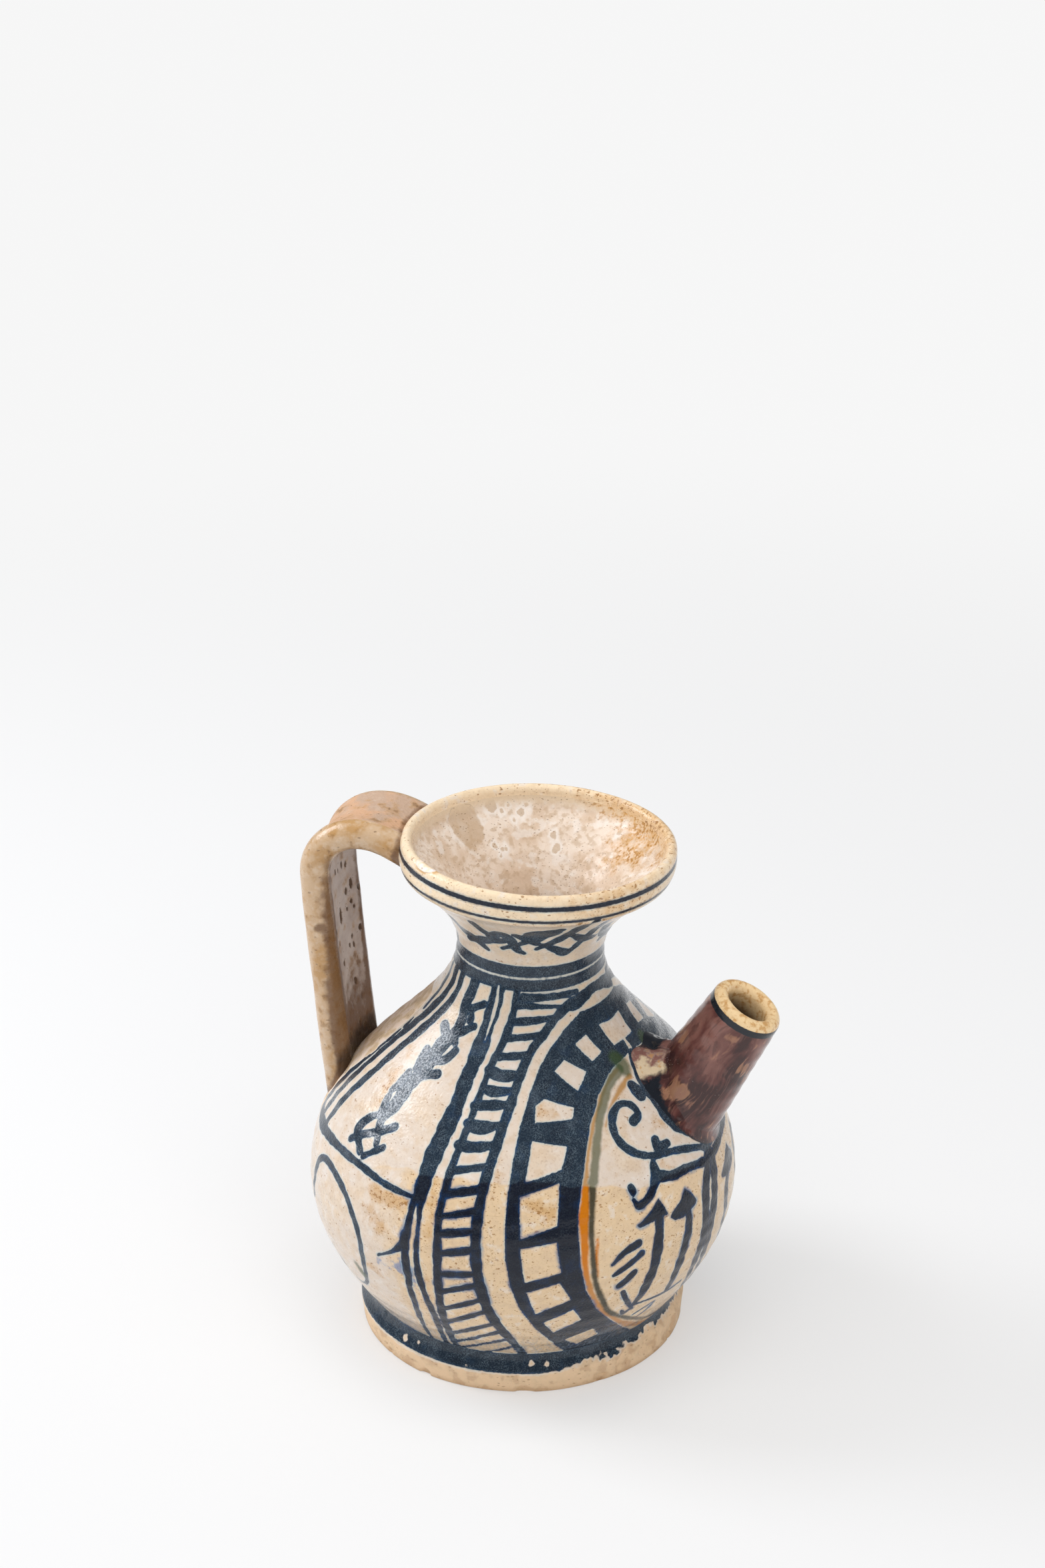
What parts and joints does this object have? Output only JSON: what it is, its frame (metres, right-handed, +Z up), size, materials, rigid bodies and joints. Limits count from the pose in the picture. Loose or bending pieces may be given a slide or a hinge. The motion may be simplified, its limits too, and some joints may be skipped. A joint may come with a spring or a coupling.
{
  "type": "oil cruet",
  "caption": "Earthenware oil cruet: round body on a disc foot, funnel mouth, strap handle and a slanted pouring spout luted to the shoulder.",
  "frame": {"origin": "centre of the foot's flat standing face", "axes": "+Z up along the vessel's axis, +X towards the pouring spout, the strap handle towards -X; the XZ plane cuts spout and handle in half"},
  "size_m": [0.1444, 0.1298, 0.1634],
  "materials": {
    "foot": "bare fired clay edge under a blue band",
    "lower_body": "tin glaze painted in cobalt",
    "upper_body": "tin glaze painted in cobalt",
    "mouth": "tin glaze, worn and pitted inside",
    "handle": "thin buff glaze, pitted",
    "spout": "manganese purple glaze, buff lip",
    "luting": "smeared clay under glaze"
  },
  "bodies": {
    "root": {"foot": "foot", "lower_body": "lower_body", "upper_body": "upper_body", "funnel_mouth": "mouth", "strap_handle": "handle", "pouring_spout": "spout", "spout_luting": "luting"}
  },
  "joints": []
}
